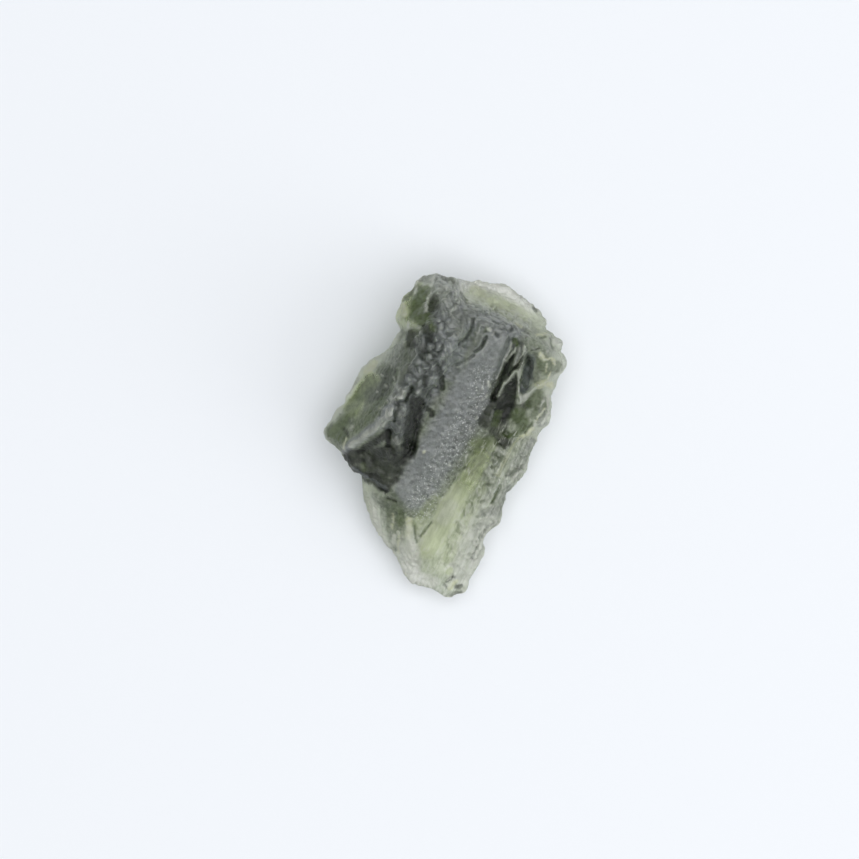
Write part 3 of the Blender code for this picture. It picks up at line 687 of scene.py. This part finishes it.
# How the shape of the skin lays painted shade into its hollows and a painted highlight on its sharp edges,
# and other levels of its finish. Heights are millimetres, from none to full.
roughnessAndShade = {
    "evenRounds": 20,
    "fineRounds": 8,
    "broadRounds": 70,
    "fineHollow": (0.0, 0.04),
    "broadHollow": (0.0, 0.25),
    "hollowShare": 0.6,
    "hollowThick": (0.5, 4.0),
    "fineSharp": (0.005, 0.045),
    "fineSharpShare": 0.5,
    "broadSharp": (0.05, 0.3),
    "broadSharpShare": 0.3,
    # How light the tone is where each of these starts and is full.
    "sideLight": (0.05, 0.25),
    "glintLight": (0.1, 0.2),
    "speckLight": (0.5, 1.0),
    "sharpLight": (0.15, 0.6),
    "sheenLight": (0.05, 0.3),
    "grainFrom": (0.24, 0.36),    # roughness
}


# how far each point lies below the skin round it, evened out over so many rounds
def sunk(points, normals, edges, rounds):
    return ((relax(points, edges, rounds) - points) * normals).sum(axis=1)


# What the finish reads at each point: the glass tone with the marks laid over it, its roughness,
# painted shade where the skin is hollow, a painted highlight where it is sharp, painted glints, and how
# shiny it is.
def storeMasks(obj):
    points, normals = readPoints(obj.data)
    edges = readEdges(obj.data)
    through = relax(glassThrough(obj, points, normals)[:, None], edges, roughnessAndShade["evenRounds"])[:, 0]
    print("glass through", np.percentile(through, (5, 25, 50, 75, 95)).round(2), "mm")
    up = smoothStep(*stone["facing"]["painted"], normals[:, 2])
    bent = sway(sway(points, *stone["sway"]), *stone["fineSway"])
    thick = smoothStep(*glass["thinToThick"], through)
    tone = laid(laid(glass["thin"], glass["under"], thick), glass["body"], thick * up)
    for path, halfWidth, _, finishAndShade, strength in stone["marks"]:
        side = 1.0 if finishAndShade in glass["rightThrough"] else up
        tone = laid(tone, glass["finishesAndShades"][finishAndShade], paintedOver(bent, path, halfWidth) * strength * side)
    steep = 1 - smoothStep(*stone["facing"]["steep"], np.abs(normals[:, 2]))
    share = steep * smoothStep(*roughnessAndShade["sideLight"], tone[:, 0]) * glass["sideShare"]
    tone = laid(tone, glass["side"], share)
    light = tone[:, :3].max(axis=1)
    fine = sunk(points, normals, edges, roughnessAndShade["fineRounds"])
    broad = sunk(points, normals, edges, roughnessAndShade["broadRounds"])
    # painted shade in the hollows of the skin, only where the glass is thick
    creaseShade = smoothStep(*roughnessAndShade["fineHollow"], fine) * roughnessAndShade["hollowShare"]
    creaseShade += smoothStep(*roughnessAndShade["broadHollow"], broad) * roughnessAndShade["hollowShare"]
    creaseShade *= smoothStep(*roughnessAndShade["hollowThick"], through)
    # painted highlight on sharp crests and edges, only on lighter tones
    edgeHighlight = smoothStep(*roughnessAndShade["fineSharp"], -fine) * roughnessAndShade["fineSharpShare"]
    edgeHighlight += smoothStep(*roughnessAndShade["broadSharp"], -broad) * roughnessAndShade["broadSharpShare"]
    sheen = np.maximum.reduce([zone(points, name) for name in ("band", "ridge", "shoulder")])
    streaks = zone(points, "streaks") * up * (1 - 0.6 * markedAs(points, ("lime", "pale")))
    storeColour(obj.data, "tone", tone[:, :3])
    storeMask(obj.data, "roughnessAndShade", tone[:, 3])
    storeMask(obj.data, "grain", smoothStep(*roughnessAndShade["grainFrom"], tone[:, 3]))
    storeMask(obj.data, "glints", zone(points, "glints") * up * smoothStep(*roughnessAndShade["glintLight"], light))
    storeMask(obj.data, "speckled", 1 - smoothStep(*roughnessAndShade["speckLight"], light))
    storeMask(obj.data, "streaks", streaks)
    storeMask(obj.data, "creaseShade", creaseShade * (1 - 0.6 * light))
    storeMask(obj.data, "edgeHighlight", edgeHighlight * smoothStep(*roughnessAndShade["sharpLight"], light))
    storeMask(obj.data, "sheen", sheen * up * smoothStep(*roughnessAndShade["sheenLight"], light))


# a tone or a single finish laid over what is there, as strongly as the share says at each point
def laid(below, above, share):
    return np.array(below) * (1 - share[:, None]) + np.array(above) * share[:, None]


def node(tree, kind, at, **sockets):
    made = tree.nodes.new(kind)
    made.location = at
    for name, value in sockets.items():
        made.inputs[name.replace("_", " ")].default_value = value
    return made


# A tone or finish is red, green, blue and roughness.
glass = {
    "thinToThick": (1.2, 5.5),    # mm
    "thin": (0.93, 0.97, 0.86, 0.36),
    "under": (0.62, 0.70, 0.46, 0.36),
    "side": (0.54, 0.64, 0.36, 0.34),
    "sideShare": 0.7,
    "body": (0.32, 0.35, 0.29, 0.36),
    "finishesAndShades": {
        # painted shade, near black
        "dark": (0.006, 0.008, 0.006, 0.40),
        "smoke": (0.09, 0.095, 0.095, 0.38),
        "grey": (0.40, 0.41, 0.41, 0.36),
        "steel": (0.33, 0.345, 0.40, 0.38),
        "slate": (0.185, 0.20, 0.26, 0.38),
        "moss": (0.11, 0.155, 0.05, 0.30),
        "olive": (0.77, 0.85, 0.51, 0.24),
        "lime": (0.84, 0.90, 0.63, 0.28),
        "straw": (1.0, 1.0, 0.72, 0.30),
        "pale": (1.0, 1.0, 0.95, 0.36),
    },
    "rightThrough": ("olive", "lime", "straw", "pale"),
    "mottleShade": (0.45, 0.45, 0.45, 1.0),
    "streakShade": (0.55, 0.58, 0.50, 1.0),
    # painted shade laid into hollows, and the tone of painted highlights on sharp edges and of pale streak
    # lines
    "hollowShade": (0.45, 0.47, 0.43, 1.0),
    "highlightAndPaleLineTone": (1.0, 1.0, 0.95, 1.0),
    "glintTone": (0.95, 0.97, 1.0, 1.0),
    "specularLevel": 0.25,
    "refraction": 1.49,
    "clearShare": 0.70,
    "absorbed": (0.52, 0.60, 0.34, 1.0),
    "density": 95.0,
    "coatRoughness": 0.3,
    # Fine patterns: how many to the metre, and the levels of noise between which each comes in.
    "noiseRoughness": 0.6,
    "speckScale": 3600.0,
    "speckLevels": (0.42, 0.62),
    "speckShare": 0.7,
    "lineScale": 6500.0,
    "lineStretch": (1, 7, 2),
    "darkLines": (0.4, 0.66),
    "paleLines": (0.42, 0.30),
    "grainScale": 9000.0,
    "sparkLevels": (0.57, 0.64),
    "bumpStrength": 0.9,
    "bumpHeight": 0.04 * mm,
}


def maskNode(tree, name, at, output="Fac"):
    made = tree.nodes.new("ShaderNodeAttribute")
    made.attribute_name = name
    made.location = at
    return made.outputs[output]


# the mix node's sockets for colours
mixSockets = {"first": 6, "second": 7, "result": 2}


def mixColour(tree, at, factor, first, second, blend="MIX"):
    made = tree.nodes.new("ShaderNodeMix")
    made.data_type = "RGBA"
    made.blend_type = blend
    made.location = at
    tree.links.new(factor, made.inputs["Factor"])
    for name, value in (("first", first), ("second", second)):
        socket = made.inputs[mixSockets[name]]
        if isinstance(value, tuple):
            socket.default_value = value
        else:
            tree.links.new(value, socket)
    return made.outputs[mixSockets["result"]]


def product(tree, at, first, second):
    made = tree.nodes.new("ShaderNodeMath")
    made.operation = "MULTIPLY"
    made.location = at
    tree.links.new(first, made.inputs[0])
    tree.links.new(second, made.inputs[1])
    return made.outputs[0]


def noiseNode(tree, at, place, scale, detail):
    made = node(tree, "ShaderNodeTexNoise", at, Scale=scale, Detail=detail)
    made.inputs["Roughness"].default_value = glass["noiseRoughness"]
    tree.links.new(place, made.inputs["Vector"])
    return made.outputs["Fac"]


# stretches the values between two levels to run from nought to the top
def spread(tree, at, value, levels, top=1.0):
    made = node(tree, "ShaderNodeMapRange", at, From_Min=levels[0], From_Max=levels[1], To_Max=top)
    tree.links.new(value, made.inputs["Value"])
    return made.outputs["Result"]


# the stone's own places, stretched along the long window
def lengthwise(tree, at, place):
    made = node(tree, "ShaderNodeMapping", at)
    made.vector_type = "TEXTURE"
    made.inputs["Rotation"].default_value = (0, 0, -math.radians(stone["lean"]))
    made.inputs["Scale"].default_value = glass["lineStretch"]
    tree.links.new(place, made.inputs["Vector"])
    return made.outputs["Vector"]


def makeGlass():
    material = bpy.data.materials.new("moldavite glass")
    material.use_nodes = True
    tree = material.node_tree
    shader = tree.nodes["Principled BSDF"]
    shader.inputs["Transmission Weight"].default_value = glass["clearShare"]
    shader.inputs["IOR"].default_value = glass["refraction"]
    shader.inputs["Specular IOR Level"].default_value = glass["specularLevel"]
    shader.inputs["Coat Roughness"].default_value = glass["coatRoughness"]
    tree.links.new(maskNode(tree, "sheen", (-300, 0)), shader.inputs["Coat Weight"])
    tree.links.new(maskNode(tree, "roughnessAndShade", (-300, -150)), shader.inputs["Roughness"])
    place = node(tree, "ShaderNodeTexCoord", (-1900, 0)).outputs["Object"]

    # dark specks in the thicker glass
    specks = noiseNode(tree, (-1500, 0), place, glass["speckScale"], 2.0)
    spots = spread(tree, (-1300, 0), specks, glass["speckLevels"], glass["speckShare"])
    mottle = product(tree, (-1100, 0), spots, maskNode(tree, "speckled", (-1300, -150)))
    tone = maskNode(tree, "tone", (-1300, 300), "Color")
    tone = mixColour(tree, (-900, 300), mottle, tone, glass["mottleShade"], "MULTIPLY")

    # dark and pale streaks along the long window and the scallops
    lines = noiseNode(tree, (-1500, -800), lengthwise(tree, (-1700, -800), place), glass["lineScale"], 3.0)
    streaks = maskNode(tree, "streaks", (-1300, -1000))
    dark = product(tree, (-1100, -800), spread(tree, (-1300, -800), lines, glass["darkLines"]), streaks)
    tone = mixColour(tree, (-800, 300), dark, tone, glass["streakShade"], "MULTIPLY")
    pale = product(tree, (-1100, -1200), spread(tree, (-1300, -1200), lines, glass["paleLines"]), streaks)
    tone = mixColour(tree, (-750, 100), pale, tone, glass["highlightAndPaleLineTone"])

    # painted shade in hollows, a painted highlight on sharp edges and painted glints on the slanting face
    creaseShade = maskNode(tree, "creaseShade", (-900, 0))
    tone = mixColour(tree, (-700, 300), creaseShade, tone, glass["hollowShade"], "MULTIPLY")
    tone = mixColour(tree, (-500, 300), maskNode(tree, "edgeHighlight", (-700, 0)), tone, glass["highlightAndPaleLineTone"])
    # painted glints: pale specks from fine noise on the band
    grain = noiseNode(tree, (-1300, -300), place, glass["grainScale"], 3.0)
    spark = spread(tree, (-1100, -300), grain, glass["sparkLevels"])
    glints = product(tree, (-900, -300), spark, maskNode(tree, "glints", (-1100, -550)))
    tone = mixColour(tree, (-300, 300), glints, tone, glass["glintTone"])
    tree.links.new(tone, shader.inputs["Base Color"])

    height = product(tree, (-700, -300), grain, maskNode(tree, "grain", (-900, -550)))
    bump = node(tree, "ShaderNodeBump", (-300, -300), Strength=glass["bumpStrength"])
    bump.inputs["Distance"].default_value = glass["bumpHeight"]
    tree.links.new(height, bump.inputs["Height"])
    tree.links.new(bump.outputs["Normal"], shader.inputs["Normal"])
    body = tree.nodes.new("ShaderNodeVolumeAbsorption")
    body.inputs["Color"].default_value = glass["absorbed"]
    body.inputs["Density"].default_value = glass["density"]
    tree.links.new(body.outputs["Volume"], tree.nodes["Material Output"].inputs["Volume"])
    return material


def buildStone():
    stone["marks"] += knobMarks()
    obj = copyStone(stone["piece"])
    carveMarks(obj)
    print("skin", len(obj.data.vertices), "points, marks carved")
    addRelief(obj)
    print("relief worn in")
    thinOut(obj)
    storeMasks(obj)
    points, _ = readPoints(obj.data)
    points[:, 2] = np.maximum(points[:, 2], 0.0)
    writePoints(obj.data, points * mm)
    obj.data.shade_smooth()
    obj.data.materials.clear()
    obj.data.materials.append(makeGlass())
    print("stone", len(obj.data.polygons), "triangles")
    return obj


# A pale table in a dim even room, under a wide soft light, with a smaller one low on the right.
studio = {
    "floorSide": 1.2,
    "floorColour": (0.86, 0.885, 0.92, 1.0),
    "floorRoughness": 0.9,
    "roomColour": (0.95, 0.97, 1.0, 1.0),
    "roomStrength": 0.35,
    "lights": {                 # where from, distance and side in metres, how bright
        "wide soft light": ((0.15, 0.0, 1.0), 0.9, 1.2, 1.74),
        "right soft light": ((0.9, -0.35, 0.5), 0.5, 0.4, 1.3),
    },
}


def buildStage():
    bpy.ops.mesh.primitive_plane_add(size=studio["floorSide"])
    floor = bpy.context.object
    floor.name = "table"
    material = bpy.data.materials.new("pale table")
    material.use_nodes = True
    shader = material.node_tree.nodes["Principled BSDF"]
    shader.inputs["Base Color"].default_value = studio["floorColour"]
    shader.inputs["Roughness"].default_value = studio["floorRoughness"]
    floor.data.materials.append(material)
    world = bpy.data.worlds.new("dim room")
    world.use_nodes = True
    room = world.node_tree.nodes["Background"]
    room.inputs["Color"].default_value = studio["roomColour"]
    room.inputs["Strength"].default_value = studio["roomStrength"]
    bpy.context.scene.world = world
    for name, (whereFrom, distance, side, radiance) in studio["lights"].items():
        addSoftLight(name, Vector(whereFrom).normalized(), distance, side, radiance)
    bpy.context.scene.view_settings.view_transform = "Standard"


def addSoftLight(name, towards, distance, side, radiance):
    light = bpy.data.lights.new(name, "AREA")
    light.shape = "SQUARE"
    light.size = side
    light.energy = radiance * math.pi * side ** 2
    lamp = bpy.data.objects.new(name, light)
    bpy.context.scene.collection.objects.link(lamp)
    lamp.location = towards * distance
    lamp.rotation_mode = "QUATERNION"
    lamp.rotation_quaternion = towards.to_track_quat("Z", "Y")


# The camera looks straight down on the stone, which lies a little right of and below the middle.
view = {
    "photoSide": 859,               # pixels
    "stonePixels": 326,             # from the blunt end to the tip
    "stoneLength": 20.0 * mm,
    "stoneMiddle": (445.6, 436.9),  # pixels
    "lens": 150.0,
    "focusHeight": 3.0 * mm,
}


def buildCamera():
    pixel = view["stoneLength"] / view["stonePixels"]
    half = view["photoSide"] / 2
    camera = bpy.data.cameras.new("camera")
    camera.lens = view["lens"]
    camera.clip_start = mm
    obj = bpy.data.objects.new("camera", camera)
    bpy.context.scene.collection.objects.link(obj)
    distance = half * pixel / (camera.sensor_width / 2 / camera.lens)
    acrossX = (half - view["stoneMiddle"][0]) * pixel
    acrossY = (view["stoneMiddle"][1] - half) * pixel
    obj.location = (acrossX, acrossY, view["focusHeight"] + distance)
    bpy.context.scene.camera = obj


buildCamera()
buildStage()
print("camera, table and light in place")
moldavite = buildStone()
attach(moldavite, "root")
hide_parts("moldavite")
